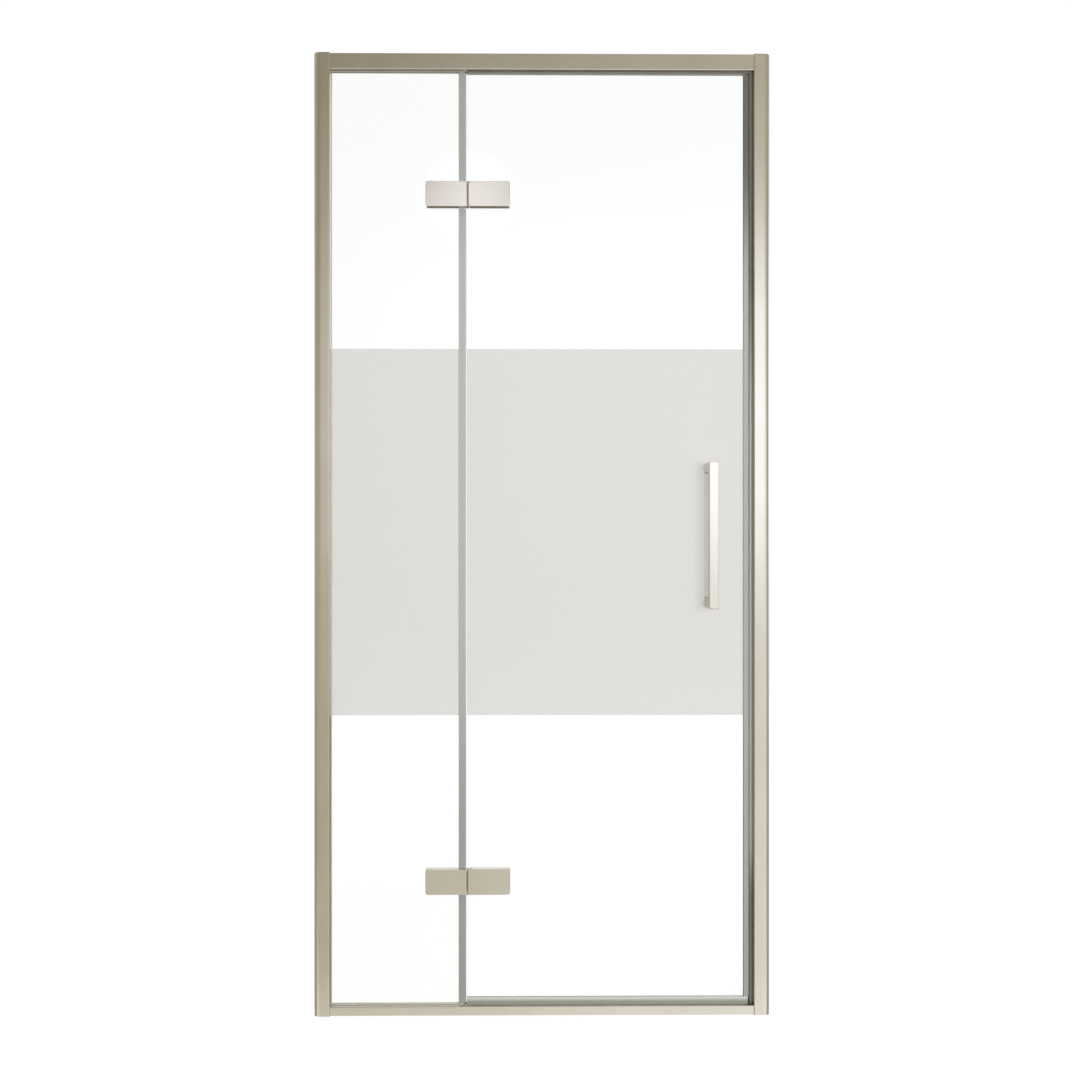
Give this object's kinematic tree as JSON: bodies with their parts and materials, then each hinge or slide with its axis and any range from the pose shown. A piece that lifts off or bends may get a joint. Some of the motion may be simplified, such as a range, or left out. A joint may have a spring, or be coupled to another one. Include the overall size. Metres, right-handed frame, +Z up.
{
  "type": "hinged shower door",
  "caption": "Recess shower door: fixed glass pane and outward-opening hinged glass door in a metal frame, with wall channels, threshold, seals and bar handle.",
  "frame": {"origin": "on the shower tray under the threshold, midway between the two walls, in the middle plane of the glass", "axes": "+X to the right seen from outside, +Y into the shower, +Z up"},
  "size_m": [0.9, 0.076, 1.9],
  "materials": {
    "satin_nickel_profile": "satin nickel anodised",
    "satin_nickel_fitting": "brushed nickel plated",
    "pane_glass": "clear toughened glass with an etched band",
    "clear_seal": "translucent extruded vinyl",
    "dark_seal": "dark extruded rubber",
    "magnet_strip": "magnetic rubber",
    "screw_steel": "stainless steel",
    "white_nylon": "moulded nylon"
  },
  "bodies": {
    "frame": {"wall_channel_left": "satin_nickel_profile", "wall_channel_right": "satin_nickel_profile", "jamb_left": "satin_nickel_profile", "jamb_right": "satin_nickel_profile", "post_cap_left": "satin_nickel_profile", "post_cap_right": "satin_nickel_profile", "top_rail": "satin_nickel_profile", "threshold": "satin_nickel_profile", "threshold_infill": "satin_nickel_profile", "corner_screws_left": "screw_steel", "corner_screws_right": "screw_steel", "lock_screws_left": "screw_steel", "lock_screws_right": "screw_steel", "screw_covers_left": "satin_nickel_fitting", "screw_covers_right": "satin_nickel_fitting", "fixed_glass": "pane_glass", "setting_blocks": "dark_seal", "glazing_gasket_front": "clear_seal", "glazing_gasket_back": "clear_seal", "panel_edge_seal": "clear_seal", "top_stop_seal": "dark_seal", "jamb_magnet_holder": "dark_seal", "jamb_magnet": "magnet_strip", "upper_hinge_fixed_leaf": "satin_nickel_fitting", "upper_hinge_fixed_clamp": "satin_nickel_fitting", "lower_hinge_fixed_leaf": "satin_nickel_fitting", "lower_hinge_fixed_clamp": "satin_nickel_fitting", "hinge_pins": "screw_steel", "hinge_washers": "white_nylon", "fixed_hinge_pads": "clear_seal", "fixed_hinge_sleeves": "white_nylon", "fixed_hinge_screws": "screw_steel"},
    "door": {"door_glass": "pane_glass", "door_bottom_seal": "clear_seal", "door_magnet_seal": "clear_seal", "door_magnet": "magnet_strip", "upper_hinge_door_leaf": "satin_nickel_fitting", "upper_hinge_door_clamp": "satin_nickel_fitting", "lower_hinge_door_leaf": "satin_nickel_fitting", "lower_hinge_door_clamp": "satin_nickel_fitting", "door_hinge_pads": "clear_seal", "door_hinge_sleeves": "white_nylon", "door_hinge_screws": "screw_steel", "outer_handle": "satin_nickel_fitting", "handle_studs": "screw_steel", "handle_sleeves": "white_nylon", "handle_washers": "clear_seal", "inner_knobs": "satin_nickel_fitting"}
  },
  "joints": [
    {"name": "door_swing", "type": "hinge", "parent": "frame", "child": "door", "pos_m": [-0.1448, -0.014, 0.943], "axis": [0, 0, -1], "range_deg": [0, 90]}
  ]
}
